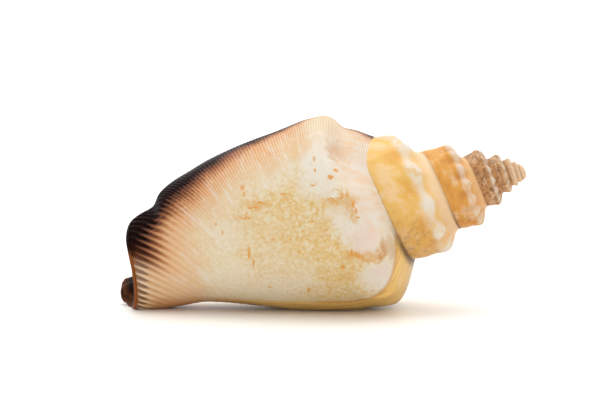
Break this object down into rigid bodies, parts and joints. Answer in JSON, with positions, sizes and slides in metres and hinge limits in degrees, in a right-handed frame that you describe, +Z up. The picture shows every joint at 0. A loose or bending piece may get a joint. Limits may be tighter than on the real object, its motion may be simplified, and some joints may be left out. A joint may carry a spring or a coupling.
{
  "type": "conch shell",
  "caption": "Little bear conch: spindle-shaped right-handed sea shell with knobbed spire whorls, a broad body whorl, a long narrow opening and a short open canal.",
  "frame": {"origin": "middle of the bounding box, on the ground the shell rests on", "axes": "+X towards the apex of the spire, +Z up, -Y towards the side that was pictured; the opening faces +Y"},
  "size_m": [0.0488, 0.0216, 0.0229],
  "materials": {
    "shell": "satin"
  },
  "bodies": {
    "root": {"shell": "shell"}
  },
  "joints": []
}
